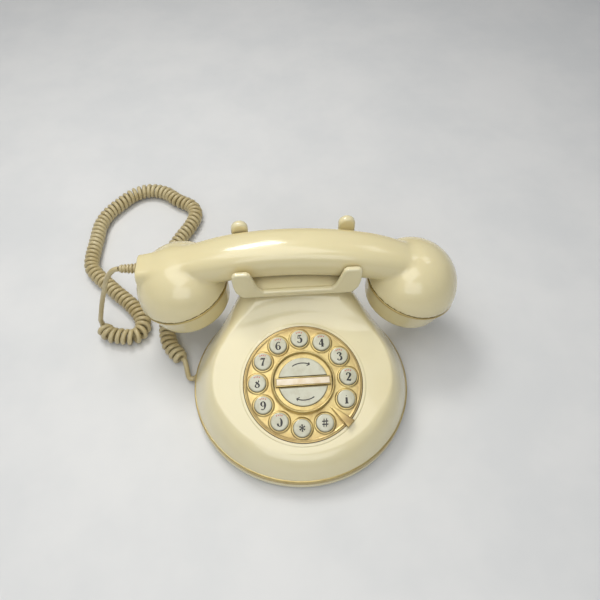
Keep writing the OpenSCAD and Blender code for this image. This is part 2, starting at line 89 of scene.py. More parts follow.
def polar(r, a):
    return r * math.cos(a), r * math.sin(a)


def axes_of(p):
    return np.moveaxis(np.asarray(p, float), -1, 0)


def spun(p, angle):
    """Points turned about Z."""
    x, y, z = axes_of(p)
    c, s = math.cos(angle), math.sin(angle)
    return np.stack([c * x - s * y, s * x + c * y, z], -1)


def on_dial(p):
    """From the dial's own frame, its face at height 0, to the row frame."""
    c, s = math.cos(DIAL_TILT), math.sin(DIAL_TILT)
    x, y, z = axes_of(p)
    return np.stack([x, DIAL_Y + c * y - s * z, DIAL_Z + s * y + c * z], -1)


def in_handset(p):
    """From the handset's own frame, its grip along X, to the row frame."""
    return spun(p, HANDSET_TURN) + (HANDSET_X, HANDSET_Y, 0)


def in_cup(side):
    """A function from one cup's own frame, its axis along Z, to the row frame."""
    c, s = math.cos(CUP_TILT), side * math.sin(CUP_TILT)

    def place(p):
        x, y, z = axes_of(p)
        return in_handset(np.stack([side * CUP_X + c * x + s * z, y, CUP_Z - s * x + c * z], -1))
    return place


def curve_through(points, step):
    """A smooth curve through given points, step parts between two of them."""
    p = np.asarray(points, float)
    last = len(p) - 1
    out = []
    for i in range(last):
        a, b, c, d = p[max(0, i - 1)], p[i], p[i + 1], p[min(last, i + 2)]
        for k in range(step):
            t = k / step
            out.append(0.5 * (2 * b + (c - a) * t + (2 * a - 5 * b + 4 * c - d) * t * t
                              + (3 * b - a - 3 * c + d) * t ** 3))
    out.append(p[last])
    return np.array(out)


def evenly(points, count):
    """The same line with its points an equal distance apart."""
    lengths = np.concatenate([[0], np.cumsum(np.linalg.norm(np.diff(points, axis=0), axis=1))])
    at = np.linspace(0, lengths[-1], count)
    return np.stack([np.interp(at, lengths, points[:, k]) for k in range(3)], -1), lengths[-1]


# ---- meshes

def piece(name, shape, material, body, replaces=(), sharp=40, place=None, ride=True):
    """One visual piece from (points, faces), put in its place and given to a body."""
    verts, faces = shape
    if place:
        verts = place(verts)
    mesh = bpy.data.meshes.new(name)
    mesh.from_pydata([tuple(v) for v in np.asarray(verts, float) * MM], [],
                     [tuple(int(i) for i in f) for f in faces])
    mesh.validate()
    mesh.shade_smooth()
    mesh.set_sharp_from_angle(angle=math.radians(sharp))
    obj = bpy.data.objects.new(name, mesh)
    SCENE.collection.objects.link(obj)
    mesh.materials.append(material)
    if ride:
        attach(obj, body)
    if replaces:
        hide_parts(*replaces)
    return obj


def ring_faces(rings, n, closed=False):
    """Quads between rings of n points each; closed also joins the last ring to the first."""
    faces = []
    for i in range(rings if closed else rings - 1):
        a, b = i * n, (i + 1) % rings * n
        for j in range(n):
            k = (j + 1) % n
            faces.append((a + j, a + k, b + k, b + j))
    return faces


def turned(profile, segments=96):
    """A profile of (radius, height) turned about Z. Where it meets the axis it is closed."""
    verts, faces, rows = [], [], []
    for r, z in profile:
        if r < 1e-6:
            rows.append([len(verts)])
            verts.append((0, 0, z))
        else:
            rows.append(list(range(len(verts), len(verts) + segments)))
            verts += [(*polar(r, 2 * math.pi * j / segments), z) for j in range(segments)]
    pairs = list(zip(rows, rows[1:]))
    if len(rows[0]) > 1 or len(rows[-1]) > 1:
        pairs.append((rows[-1], rows[0]))
    for a, b in pairs:
        for j in range(segments):
            k = (j + 1) % segments
            quad = [a[j % len(a)], a[k % len(a)], b[k % len(b)], b[j % len(b)]]
            faces.append(tuple(dict.fromkeys(quad)))
    return np.array(verts), [f for f in faces if len(f) > 2]


def rounded(corners, steps=5):
    """Corners (r, z, radius) of a closed or open profile, each rounded by its radius."""
    out = []
    n = len(corners)
    for i, (x, z, radius) in enumerate(corners):
        p = np.array([x, z], float)
        a = np.array(corners[i - 1][:2], float) - p
        b = np.array(corners[(i + 1) % n][:2], float) - p
        if radius <= 0:
            out.append(tuple(p))
            continue
        a_len, b_len = np.linalg.norm(a), np.linalg.norm(b)
        cut = min(radius, 0.48 * a_len, 0.48 * b_len)
        a, b = a / a_len * cut, b / b_len * cut
        for k in range(steps + 1):
            t = k / steps
            out.append(tuple(p + a * (1 - t) ** 2 + b * t ** 2))
    return out


def swept(path, radius, sides):
    """A tube round a line of points, with a frame carried along it; radius may vary."""
    path = np.asarray(path, float)
    n = len(path)
    radius = np.broadcast_to(radius, n)
    tangent = np.gradient(path, axis=0)
    tangent /= np.linalg.norm(tangent, axis=1)[:, None]
    side = np.cross(tangent[0], UP if abs(tangent[0][2]) < 0.9 else np.array([1.0, 0, 0]))
    verts = []
    for i in range(n):
        side = side - tangent[i] * (side @ tangent[i])
        side /= np.linalg.norm(side)
        other = np.cross(tangent[i], side)
        for j in range(sides):
            a = 2 * math.pi * j / sides
            verts.append(path[i] + radius[i] * (math.cos(a) * side + math.sin(a) * other))
    faces = ring_faces(n, sides)
    faces += [tuple(range(sides))[::-1], tuple((n - 1) * sides + j for j in range(sides))]
    return np.array(verts), faces


def joined(*parts):
    """Several closed meshes as one list of points and one of faces."""
    verts, faces = [], []
    for v, f in parts:
        faces += [tuple(i + len(verts) for i in one) for one in f]
        verts += [tuple(q) for q in v]
    return np.array(verts), faces


def loft(loops):
    """A closed body from loops with the same number of points, closed flat at both ends."""
    n = len(loops[0])
    faces = ring_faces(len(loops), n)
    faces += [tuple(range(n))[::-1], tuple((len(loops) - 1) * n + j for j in range(n))]
    return np.concatenate(loops), faces


def inset(outline, by):
    """A convex outline, counter-clockwise, with each side moved in by the same distance."""
    p = np.asarray(outline, float)
    a, b = p - np.roll(p, 1, 0), np.roll(p, -1, 0) - p
    a, b = a / np.linalg.norm(a, axis=1)[:, None], b / np.linalg.norm(b, axis=1)[:, None]
    na, nb = np.stack([-a[:, 1], a[:, 0]], 1), np.stack([-b[:, 1], b[:, 0]], 1)
    return p + by * (na + nb) / (1 + (na * nb).sum(1))[:, None]


def prism(outline, low, high, bevel):
    """A convex outline raised from low to high, its upper edge rounded by bevel."""
    def at(by, z):
        q = inset(outline, by)
        return np.column_stack([q, np.full(len(q), z)])
    loops = [at(0, low)]
    for k in range(5):
        q = math.pi / 2 * k / 4
        loops.append(at(bevel * (1 - math.cos(q)), high - bevel * (1 - math.sin(q))))
    return loft(loops)


def stroke(points, widths, z, thick=0.05, step=6):
    """A flat pen stroke through points, its width changing from point to point, on height z."""
    line = curve_through([(x, y, w) for (x, y), w in zip(points, np.broadcast_to(widths, len(points)))], step)
    tangent = np.gradient(line[:, :2], axis=0)
    tangent /= np.maximum(np.linalg.norm(tangent, axis=1)[:, None], 1e-9)
    side = np.stack([-tangent[:, 1], tangent[:, 0]], 1) * line[:, 2:3] / 2
    left, right = line[:, :2] + side, line[:, :2] - side
    loops = [np.array([[*a, z + thick], [*b, z + thick], [*b, z], [*a, z]]) for a, b in zip(left, right)]
    return loft(loops)


def implicit(field, low, high, step, refine=3):
    """The surface field = 0 as a mesh of quads: one point in each cell that it crosses."""
    low = np.array(low, float)
    axes = [np.arange(a, b + step, step) for a, b in zip(low, high)]
    value = field(np.stack(np.meshgrid(*axes, indexing="ij"), -1))
    inside = value < 0
    n = np.array(value.shape) - 1
    offsets = [(i, j, k) for i in (0, 1) for j in (0, 1) for k in (0, 1)]
    total = sum(inside[o[0]:o[0] + n[0], o[1]:o[1] + n[1], o[2]:o[2] + n[2]].astype(int) for o in offsets)
    cells = np.argwhere((total > 0) & (total < 8))
    number = -np.ones(n, int)
    number[tuple(cells.T)] = np.arange(len(cells))
    corner = {o: value[tuple((cells + np.array(o)).T)] for o in offsets}
    place, count = np.zeros((len(cells), 3)), np.zeros((len(cells), 1))
    for o in offsets:
        for axis in range(3):
            if o[axis]:
                continue
            p = tuple(1 if k == axis else o[k] for k in range(3))
            a, b = corner[o], corner[p]
            cross = (a < 0) != (b < 0)
            t = np.where(cross, a / np.where(cross, a - b, 1.0), 0.0)
            q = np.tile(np.array(o, float), (len(cells), 1))
            q[:, axis] += t
            place += q * cross[:, None]
            count += cross[:, None]
    points = low + step * (cells + place / count)
    for _ in range(refine):
        h = 0.02
        grad = np.stack([(field(points + h * e) - field(points - h * e)) / (2 * h) for e in np.eye(3)], -1)
        move = field(points)[:, None] * grad / np.maximum((grad ** 2).sum(1)[:, None], 0.05)
        far = np.linalg.norm(move, axis=1)[:, None]
        points -= move * np.minimum(1, 0.4 * step / np.maximum(far, 1e-9))
    faces = []
    for axis in range(3):
        u, w = [(1, 2), (2, 0), (0, 1)][axis]
        first = inside.take(range(n[axis]), axis)
        second = inside.take(range(1, n[axis] + 1), axis)
        edges = np.argwhere(first != second)
        keep = (edges[:, u] > 0) & (edges[:, w] > 0) & (edges[:, u] < n[u]) & (edges[:, w] < n[w])
        edges = edges[keep]
        outward = first[tuple(edges.T)]
        eu, ew = np.eye(3, dtype=int)[u], np.eye(3, dtype=int)[w]
        quad = np.stack([number[tuple((edges - s).T)] for s in (0 * eu, eu, eu + ew, ew)], -1)
        faces.append(np.where(outward[:, None], quad, quad[:, ::-1]))
    return points, np.concatenate(faces)


def outline_distance(x, z, corners):
    """Signed distance from points to a closed outline in a plane, less than 0 inside."""
    corners = np.asarray(corners, float)
    best = np.full(x.shape, 1e9)
    sign = np.ones(x.shape)
    for i in range(len(corners)):
        (ax, az), (bx, bz) = corners[i], corners[i - 1]
        ex, ez = bx - ax, bz - az
        wx, wz = x - ax, z - az
        t = np.clip((wx * ex + wz * ez) / (ex * ex + ez * ez), 0, 1)
        best = np.minimum(best, (wx - ex * t) ** 2 + (wz - ez * t) ** 2)
        above, below, left = z >= az, z < bz, ex * wz > ez * wx
        flip = (above & below & left) | (~above & ~below & ~left)
        sign = np.where(flip, -sign, sign)
    return sign * np.sqrt(best)


def slab_between(flat, along, half, radius):
    """A flat outline's distance and a distance along the third axis, with rounded edges."""
    a, b = flat + radius, np.abs(along) - (half - radius)
    outside = np.sqrt(np.maximum(a, 0) ** 2 + np.maximum(b, 0) ** 2)
    return outside + np.minimum(np.maximum(a, b), 0) - radius


# ---- materials

class Nodes:
    """A material's node tree, with short calls for the few node types used here."""

    def __init__(self, name):
        self.mat = bpy.data.materials.new(name)
        self.mat.use_nodes = True
        self.tree = self.mat.node_tree
        self.bsdf = self.tree.nodes["Principled BSDF"]
        self.coords = self.tree.nodes.new("ShaderNodeTexCoord")

    def new(self, kind, inputs=(), **props):
        node = self.tree.nodes.new(kind)
        for key, value in props.items():
            setattr(node, key, value)
        for key, value in dict(inputs).items():
            self.put(node.inputs[key], value)
        return node

    def put(self, socket, value):
        if hasattr(value, "is_output"):
            self.tree.links.new(value, socket)
        else:
            socket.default_value = value

    def set(self, **values):
        for key, value in values.items():
            self.put(self.bsdf.inputs[key.replace("_", " ").title()], value)

    @property
    def place(self):
        return self.coords.outputs["Object"]

    def noise(self, scale, detail=4.0, rough=0.5, vector=None, distortion=0.0):
        node = self.new("ShaderNodeTexNoise", {"Scale": scale, "Detail": detail, "Roughness": rough,
                                               "Distortion": distortion,
                                               "Vector": vector or self.place})
        return node.outputs["Fac"]

    def math(self, op, a, b=0.0, clamp=False):
        node = self.new("ShaderNodeMath", operation=op, use_clamp=clamp)
        for socket, value in zip(node.inputs, (a, b)):
            self.put(socket, value)
        return node.outputs[0]

    def ramp(self, value, low, high, from_value=0.0, to_value=1.0):
        node = self.new("ShaderNodeMapRange", {"Value": value, "From Min": low, "From Max": high,
                                               "To Min": from_value, "To Max": to_value},
                        interpolation_type="SMOOTHSTEP")
        return node.outputs["Result"]

    def blend(self, amount, a, b):
        node = self.new("ShaderNodeMix", data_type="RGBA")
        self.put(node.inputs["Factor"], amount)
        self.put(node.inputs["A"], a)
        self.put(node.inputs["B"], b)
        return node.outputs["Result"]

    def tint(self, colour, mask, strength, other):
        """The colour drawn towards another by strength where the mask is 1."""
        return self.blend(self.math("MULTIPLY", mask, strength), colour, other)

    def cloud(self, scale, detail, rough, *limits):
        """Noise stretched between two limits, and to two values if those are given too."""
        return self.ramp(self.noise(scale, detail, rough), *limits)

    def axis(self, vector, name):
        return self.new("ShaderNodeSeparateXYZ", {"Vector": vector}).outputs[name]

    def crevice(self, distance):
        """Ambient occlusion: 1 in corners and seams, where shade falls, 0 on open surface."""
        node = self.new("ShaderNodeAmbientOcclusion", {"Distance": distance}, samples=8)
        return self.math("SUBTRACT", 1.0, node.outputs["AO"], clamp=True)

    def bump(self, height, strength, distance, normal=None):
        node = self.new("ShaderNodeBump", {"Height": height, "Strength": strength, "Distance": distance})
        if normal is not None:
            self.put(node.inputs["Normal"], normal)
        return node.outputs["Normal"]

    def near_segment(self, a, b, width):
        """1 within about width of the line from a to b, in metres, fading outside it."""
        a, b = Vector(a), Vector(b)
        rel = self.new("ShaderNodeVectorMath", {0: self.place, 1: a}, operation="SUBTRACT").outputs[0]
        along = self.new("ShaderNodeVectorMath", {0: rel, 1: (b - a) / (b - a).length_squared},
                         operation="DOT_PRODUCT").outputs["Value"]
        t = self.math("MINIMUM", self.math("MAXIMUM", along, 0.0), 1.0)
        on = self.new("ShaderNodeVectorMath", {0: b - a}, operation="SCALE")
        self.put(on.inputs["Scale"], t)
        gap = self.new("ShaderNodeVectorMath", {0: rel, 1: on.outputs[0]}, operation="DISTANCE")
        return self.ramp(gap.outputs["Value"], width * 0.3, width, 1.0, 0.0)


def rgb(r, g, b):
    """A colour given as it looks on screen, 0 to 255, as the linear value that shaders take."""
    def line(c):
        c /= 255
        return c / 12.92 if c <= 0.04045 else ((c + 0.055) / 1.055) ** 2.4
    return (line(r), line(g), line(b), 1.0)


def ivory_plastic(name, marks=(), shade_and_grime_strength=0.5, age=0.0):
    """Glossy ivory moulding: yellowed where it faces up and back, with painted shade and grime in its seams.
    """
    n = Nodes(name)
    facing = n.axis(n.coords.outputs["Normal"], "Y")
    aged = n.ramp(facing, 0.05, 0.9)
    patch = n.cloud(14, 3, 0.6, 0.4, 0.75)
    aged = n.math("ADD", n.math("MULTIPLY", aged, 0.75), n.math("MULTIPLY", patch, 0.22), clamp=True)
    aged = n.math("ADD", aged, age, clamp=True)
    colour = n.blend(aged, rgb(228, 218, 178), rgb(224, 206, 144))
    speck = n.cloud(420, 6, 0.7, 0.66, 0.78)
    colour = n.tint(colour, speck, 0.10, rgb(150, 138, 108))
    colour = n.tint(colour, n.cloud(55, 5, 0.65, 0.45, 0.85), 0.07, rgb(176, 170, 146))
    # painted shade with grime: the colour is drawn towards brown wherever ambient occlusion finds a seam or
    # gap
    shade_and_grime = n.ramp(n.crevice(0.0035), 0.30, 0.95)
    shade_and_grime = n.math("MULTIPLY", shade_and_grime, n.cloud(160, 4, 0.6, 0.25, 0.65, 0.6, 1.0))
    colour = n.tint(colour, shade_and_grime, shade_and_grime_strength, rgb(112, 90, 52))
    scuffs = 0.0
    for a, b, width, strength in marks:
        wobble = n.cloud(900, 3, 0.6, 0.35, 0.6)
        line = n.math("MULTIPLY", n.math("MULTIPLY", n.near_segment(a, b, width), wobble), strength)
        scuffs = line if scuffs == 0.0 else n.math("MAXIMUM", scuffs, line)
    if marks:
        colour = n.blend(scuffs, colour, rgb(120, 112, 96))
    n.set(base_color=colour)
    haze = n.cloud(70, 5, 0.6, 0.30, 0.80, 0.21, 0.27)
    n.set(roughness=n.math("ADD", haze, n.math("MULTIPLY", scuffs, 0.3)))
    peel = n.bump(n.noise(650, 3, 0.5), 0.05, 0.0004)
    hairlines = n.new("ShaderNodeMapping", {"Vector": n.place, "Scale": (60, 900, 900),
                                            "Rotation": (0.3, 0.2, 0.5)}).outputs[0]
    n.set(normal=n.bump(n.noise(3, 2, 0.5, hairlines), 0.035, 0.0002, peel))
    n.set(coat_weight=0.6, coat_roughness=0.05)
    n.set(subsurface_weight=0.06, subsurface_radius=(0.004, 0.003, 0.0015))
    return n.mat


def gold(name, radial=True):
    """Brushed, lacquered brass, browned towards the rim, with painted shade and tarnish round anything that
    stands on it.
    """
    n = Nodes(name)
    if radial:
        x, y = n.axis(n.place, "X"), n.math("SUBTRACT", n.axis(n.place, "Y"), DIAL_Y * MM)
        y = n.math("DIVIDE", y, math.cos(DIAL_TILT))
        reach = n.math("SQRT", n.math("ADD", n.math("MULTIPLY", x, x), n.math("MULTIPLY", y, y)))
        turn = n.math("MULTIPLY", n.math("ARCTAN2", y, x), 9.0)
        brushed = n.new("ShaderNodeCombineXYZ", {"X": n.math("MULTIPLY", reach, 2600.0), "Y": turn}).outputs[0]
    else:
        brushed = n.new("ShaderNodeMapping", {"Vector": n.place, "Scale": (300, 300, 2400)}).outputs[0]
    streak = n.noise(1.0, 4, 0.6, brushed)
    blot = n.ramp(n.noise(85, 6, 0.7, distortion=0.6), 0.42, 0.74)
    fine = n.cloud(520, 5, 0.7, 0.45, 0.75)
    colour = n.blend(streak, rgb(190, 168, 106), rgb(217, 199, 142))
    colour = n.tint(colour, blot, 0.45, rgb(180, 146, 84))
    colour = n.tint(colour, fine, 0.18, rgb(138, 106, 62))
    if radial:
        rim = n.math("MULTIPLY", n.ramp(reach, 0.034, 0.0415), n.cloud(60, 5, 0.7, 0.2, 0.7, 0.35, 1.0))
        colour = n.tint(colour, rim, 0.60, rgb(146, 116, 76))
    # painted shade with tarnish: dark brown wherever ambient occlusion finds a corner, as round the keys
    shade_and_grime = n.ramp(n.crevice(0.0025), 0.30, 0.95)
    colour = n.tint(colour, shade_and_grime, 0.75, rgb(74, 52, 24))
    n.set(base_color=colour, metallic=0.88)
    n.set(roughness=n.math("ADD", n.ramp(streak, 0.3, 0.7, 0.30, 0.42), n.math("MULTIPLY", blot, 0.16)))
    n.set(normal=n.bump(streak, 0.16, 0.0002))
    n.set(coat_weight=0.25, coat_roughness=0.15)
    return n.mat


def key_plastic(name):
    """Pale grey-green key moulding, glossy, with painted brown shade and grime in the gap round it."""
    n = Nodes(name)
    worn = n.cloud(120, 4, 0.6, 0.4, 0.75)
    colour = n.blend(worn, rgb(196, 195, 172), rgb(182, 178, 152))
    # painted shade with grime: brown where ambient occlusion finds the gap round the key
    shade_and_grime = n.ramp(n.crevice(0.002), 0.3, 0.95)
    colour = n.tint(colour, shade_and_grime, 0.6, rgb(96, 78, 48))
    speck = n.cloud(900, 5, 0.7, 0.64, 0.78)
    colour = n.tint(colour, speck, 0.18, rgb(140, 134, 116))
    n.set(base_color=colour, roughness=n.cloud(200, 4, 0.6, 0.3, 0.8, 0.14, 0.28))
    n.set(normal=n.bump(n.noise(700, 3, 0.5), 0.04, 0.0003))
    n.set(coat_weight=0.5, coat_roughness=0.06)
    return n.mat


def cord_plastic(name):
    """Soft yellowed sheath, with painted shade and dirt between the turns."""
    n = Nodes(name)
    patch = n.cloud(30, 4, 0.6, 0.35, 0.75)
    colour = n.blend(patch, rgb(198, 184, 142), rgb(180, 162, 114))
    # painted shade with dirt: darker between the turns, where ambient occlusion finds them
    shade_and_grime = n.ramp(n.crevice(0.003), 0.35, 0.95)
    colour = n.tint(colour, shade_and_grime, 0.7, rgb(120, 100, 58))
    speck = n.cloud(500, 5, 0.7, 0.62, 0.8)
    colour = n.tint(colour, speck, 0.2, rgb(150, 138, 108))
    n.set(base_color=colour, roughness=n.cloud(300, 4, 0.6, 0.3, 0.8, 0.30, 0.44))
    n.set(normal=n.bump(n.noise(1400, 3, 0.6), 0.10, 0.0002))
    n.set(coat_weight=0.12, coat_roughness=0.25)
    return n.mat


def plain(name, low, high, rough, scale, metallic=0.0, bump=0.1):
    """A simple worn finish: two close colours, uneven gloss and a fine grain."""
    n = Nodes(name)
    n.set(base_color=n.blend(n.cloud(scale, 5, 0.65, 0.3, 0.7), low, high), metallic=metallic)
    n.set(roughness=n.ramp(n.noise(scale * 2, 4, 0.6), 0.3, 0.7, rough * 0.85, min(1.0, rough * 1.2)))
    n.set(normal=n.bump(n.noise(scale * 6, 4, 0.6), bump, 0.0002))
    return n.mat


def paper(name):
    """A cream card with a visible fibre."""
    n = Nodes(name)
    fibre = n.noise(1500, 6, 0.7)
    colour = n.blend(n.cloud(90, 4, 0.6, 0.35, 0.7), rgb(240, 228, 206), rgb(226, 206, 170))
    colour = n.blend(n.math("MULTIPLY", n.ramp(fibre, 0.6, 0.75), 0.2), colour, rgb(178, 150, 112))
    n.set(base_color=colour, roughness=0.45)
    n.set(normal=n.bump(fibre, 0.08, 0.0002))
    n.set(coat_weight=0.3)
    return n.mat


# ---- camera, light, floor

def make_camera():
    data = bpy.data.cameras.new("camera")
    data.sensor_width = 36
    data.lens = 36
    data.clip_start = 0.01
    cam = bpy.data.objects.new("camera", data)
    cam.location = (-0.0170, -0.2342, 0.4122)
    cam.rotation_euler = (math.radians(38), 0, math.radians(-4))
    SCENE.collection.objects.link(cam)
    SCENE.camera = cam


LIT_MIDDLE = (0, 0.02, 0.05)


def area_light(name, place, size, power, colour):
    """A soft panel of a size in metres and a power in watts, turned to the telephone's middle."""
    data = bpy.data.lights.new(name, "AREA")
    data.shape = "RECTANGLE"
    data.size, data.size_y = size
    data.energy = power
    data.color = colour
    light = bpy.data.objects.new(name, data)
    light.location = place
    light.rotation_euler = (Vector(LIT_MIDDLE) - Vector(place)).to_track_quat("-Z", "Y").to_euler()
    SCENE.collection.objects.link(light)


def make_stage():
    floor = Nodes("floor_finish")
    shade = floor.blend(floor.ramp(floor.noise(9, 4, 0.6), 0.3, 0.7), rgb(222, 222, 220), rgb(214, 215, 214))
    floor.set(base_color=shade, roughness=0.6)
    mesh = bpy.data.meshes.new("floor")
    mesh.from_pydata([(-3, -3, 0), (3, -3, 0), (3, 3, 0), (-3, 3, 0)], [], [(0, 1, 2, 3)])
    mesh.materials.append(floor.mat)
    obj = bpy.data.objects.new("floor", mesh)
    SCENE.collection.objects.link(obj)
    area_light("key_light", (-0.22, 0.42, 0.80), (0.34, 0.22), 2.9, (1.0, 0.985, 0.96))
    area_light("side_light", (0.50, 0.30, 0.75), (0.26, 0.20), 0.3, (1.0, 0.985, 0.96))
    area_light("ceiling_light", (-0.20, -0.12, 1.00), (1.0, 0.7), 4.9, (1.0, 0.99, 0.97))
    area_light("fill_light", (-0.05, -0.95, 0.80), (0.9, 0.6), 3.2, (0.98, 0.99, 1.0))
    world = bpy.data.worlds.new("studio")
    SCENE.world = world
    world.use_nodes = True
    background = world.node_tree.nodes["Background"]
    background.inputs["Color"].default_value = (0.90, 0.93, 1.0, 1.0)
    background.inputs["Strength"].default_value = 0.24
    SCENE.view_settings.view_transform = "Standard"
    SCENE.view_settings.exposure = 0.0


make_camera()
make_stage()

# ---- handset cord

UPPER_TAIL = [(-129.7, 63.5, 79.3), (-134.5, 63.9, 77.3), (-140.5, 64.2, 69.5), (-146, 64.8, 56),
              (-151.5, 65.4, 41), (-156, 65.8, 27), (-159.6, 66, 15.2)]
LOWER_TAIL = [(-90.3, 26.9, 7.2), (-89, 22, 6), (-87.8, 16, 5.4), (-86, 11.6, 5.3), (-82.7, 11, 5.3)]
CURL_ROUTE = [
    (-160, 66), (-153, 57), (-143, 54), (-133, 53), (-127, 59), (-127, 68), (-132, 78),
    (-141, 89), (-151, 99), (-162, 111), (-172, 122), (-178, 132), (-179, 147),
    (-178, 165), (-177, 183), (-172, 198), (-161, 213), (-149, 225), (-134, 230),
    (-118, 225), (-106, 214), (-92, 204), (-88, 192), (-92, 178), (-99, 165),
    (-106, 150), (-110, 132), (-112, 112), (-110, 90), (-107, 70), (-106, 55),
    (-103, 43), (-97, 34), (-91, 28)]


def curl_line():
    """The curly stretch: a helix wound about the route, opened out to nothing at both ends."""
    centre = curve_through([(x, y, CURL_Z) for x, y in CURL_ROUTE], 12)
    steps_a_turn = 14
    _, length = evenly(centre, 10)
    turns = round(length / CURL_PITCH)
    count = turns * steps_a_turn + 1
    centre, _ = evenly(centre, count)
    tangent = np.gradient(centre, axis=0)
    tangent /= np.linalg.norm(tangent, axis=1)[:, None]
    side = np.cross(tangent, UP)
    at = np.arange(count) / steps_a_turn
    ends = smooth(np.minimum(at, turns - at) / 0.9)
    reach = (CURL_R - WIRE_R - 0.15) * ends
    angle = 2 * math.pi * at
    return centre + reach[:, None] * (np.cos(angle)[:, None] * side + np.sin(angle)[:, None] * UP)


def make_cord(material):
    """The whole cord as one tube, from the base to the handset."""
    upper = curve_through(UPPER_TAIL, 8)
    drop = upper[-1] + (0.3, -0.2, -3.4)
    path = np.concatenate([upper, [drop], curl_line(), curve_through(LOWER_TAIL, 8)])[::-1]
    far_enough = np.linalg.norm(np.diff(path, axis=0), axis=1) > 0.25
    path = path[np.concatenate([[True], far_enough])]
    verts, faces = swept(path, WIRE_R, 8)
    verts[:, 2] = np.maximum(verts[:, 2], 0.1)
    cord = piece("handset_cord", (verts, faces), material, "base",
                 ("cord_curl", "cord_tail_upper", "cord_tail_lower"), sharp=80, ride=False)
    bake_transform(cord)


CORD = cord_plastic("cord_sheath")


def make_relief():
    """The ribbed sleeve that the cord leaves the handset through."""
    core, groove, ribs, rib_pitch = 2.3, 2.45, 5, 2.5
    profile = [(0.0, -12.0), (core, -12.0), (core, 0.1)]
    for k in range(ribs):
        r, z = 3.9 - 0.2 * k, 0.4 + rib_pitch * k
        profile += [(r - 0.35, z), (r, z + 0.35), (r, z + 1.1), (r - 0.35, z + 1.5),
                    (groove, z + 1.6), (groove, z + 2.3)]
    profile += [(core, 12.9), (0.0, 13.0)]

    def place(p):
        x, y, z = axes_of(p)
        return in_handset(np.stack([-END_X - z, y, RELIEF_Z + x], -1))
    return piece("cord_relief_sleeve", turned(profile, 40), CORD, "handset",
                 ("handset_cord_relief",), sharp=35, place=place)


relief = make_relief()
make_cord(CORD)

# ---- housing

FRONT_A, FRONT_B, FRONT_CY = 63.3, 54.0, -16.0
NECK_A, NECK_B, FLANK_A, FLANK_B = 30.0, 67.0, 47.0, 79.5
RISE_FROM, RISE_TO, RISE_CLEAR, RISE_RING, FRONT_ROLL = 12.0, 46.0, 42.5, 22.0, 4.0


def face_height(x, y):
    """The upper face: the dial's sloping plane, rising to the neck's top behind the dial."""
    plane = DIAL_Z + SLOPE * (y - DIAL_Y)
    d = np.hypot(x, y - DIAL_Y)
    back = smooth((y - RISE_FROM) / (RISE_TO - RISE_FROM))
    return mix(plane, NECK_Z, back * smooth((d - RISE_CLEAR) / RISE_RING))


def front_reach(a):
    """How far the front's ellipse is from the axis, in each direction."""
    c, s, k = np.cos(a) / FRONT_A, np.sin(a) / FRONT_B, FRONT_CY / FRONT_B
    q, h = c * c + s * s, s * k
    return (h + np.sqrt(h * h + q * (1 - k * k))) / q


def neck_reach(a, half, back):
    """How far a square-shouldered neck is from the axis, 0 in front of it."""
    up = np.maximum(np.sin(a), 1e-6)
    neck = ((np.abs(np.cos(a)) / half) ** 6 + (up / back) ** 6) ** (-1 / 6)
    return np.where(np.sin(a) <= 0, 0, neck)


def union_reach(p, q):
    return (p ** 12 + q ** 12) ** (1 / 12)


def shell_rows(t, angles, side_steps, edge_steps, face_steps):
    """Rows of the shell's grid from the foot of the wall to the dial hole, t inside the skin."""
    c, s = np.cos(angles), np.sin(angles)
    crease = smooth((s + 0.8) / 0.45)
    neck_share = smooth((s - 0.45) / 0.3)
    front = front_reach(angles)
    edge = union_reach(front, neck_reach(angles, NECK_A, NECK_B)) - FRONT_ROLL * (1 - crease) - t
    out = union_reach(front + mix(5, 8, crease), neck_reach(angles, FLANK_A, FLANK_B))
    out = np.minimum(FLANK_B, out) - t
    foot_r = BASE_R - 1 - t

    def on_face(r, drop):
        return np.stack([r * c, r * s, face_height(r * c, r * s) - drop], -1)
    foot = np.stack([foot_r * c, foot_r * s, np.full_like(c, TRIM_TOP)], -1)
    shoulder = on_face(out, mix(0, mix(5.5, 2.5, neck_share), crease) + t)
    inner = on_face(edge, t)
    b = np.arctan2(inner[:, 1] - DIAL_Y, inner[:, 0])
    hole_x, hole_y = HOLE_R * np.cos(b), DIAL_Y + HOLE_R * math.cos(DIAL_TILT) * np.sin(b)

    def side_at(u):
        return (1 - u) ** 2 * foot + 2 * u * (1 - u) * shoulder + u ** 2 * inner

    def face_at(u):
        u = np.broadcast_to(u, b.shape)
        x, y = mix(inner[:, 0], hole_x, u), mix(inner[:, 1], hole_y, u)
        d = np.hypot(x, (y - DIAL_Y) / math.cos(DIAL_TILT))
        # a shallow raised lip round the dial plate
        lip = 0.0 if t else 0.45 * smooth((44.6 - d) / 0.8)
        return np.stack([x, y, face_height(x, y) - t + lip], -1)
    # the crease between wall and face is rounded over about a millimetre
    start = 1 - 0.55 / np.maximum(np.linalg.norm(inner - shoulder, axis=1), 1.0)
    stop = 1.1 / np.maximum(np.hypot(inner[:, 0] - hole_x, inner[:, 1] - hole_y), 2.0)
    rows = [side_at((start * k / side_steps)[:, None]) for k in range(side_steps)]
    for k in range(edge_steps + 1):
        u = k / edge_steps
        rows.append((1 - u) ** 2 * side_at(start[:, None]) + 2 * u * (1 - u) * inner + u ** 2 * face_at(stop))
    for k in range(1, face_steps + 1):
        rows.append(face_at(mix(stop, 1.0, k / face_steps)))
    return rows


def make_housing(material):
    n = 320
    angles = np.linspace(0, 2 * math.pi, n, endpoint=False)
    rows = shell_rows(0.0, angles, 44, 6, 64) + shell_rows(WALL, angles, 10, 1, 12)[::-1]
    piece("housing_skin", (np.concatenate(rows), ring_faces(len(rows), n, True)), material,
          "base", ("housing_shell",), sharp=50)


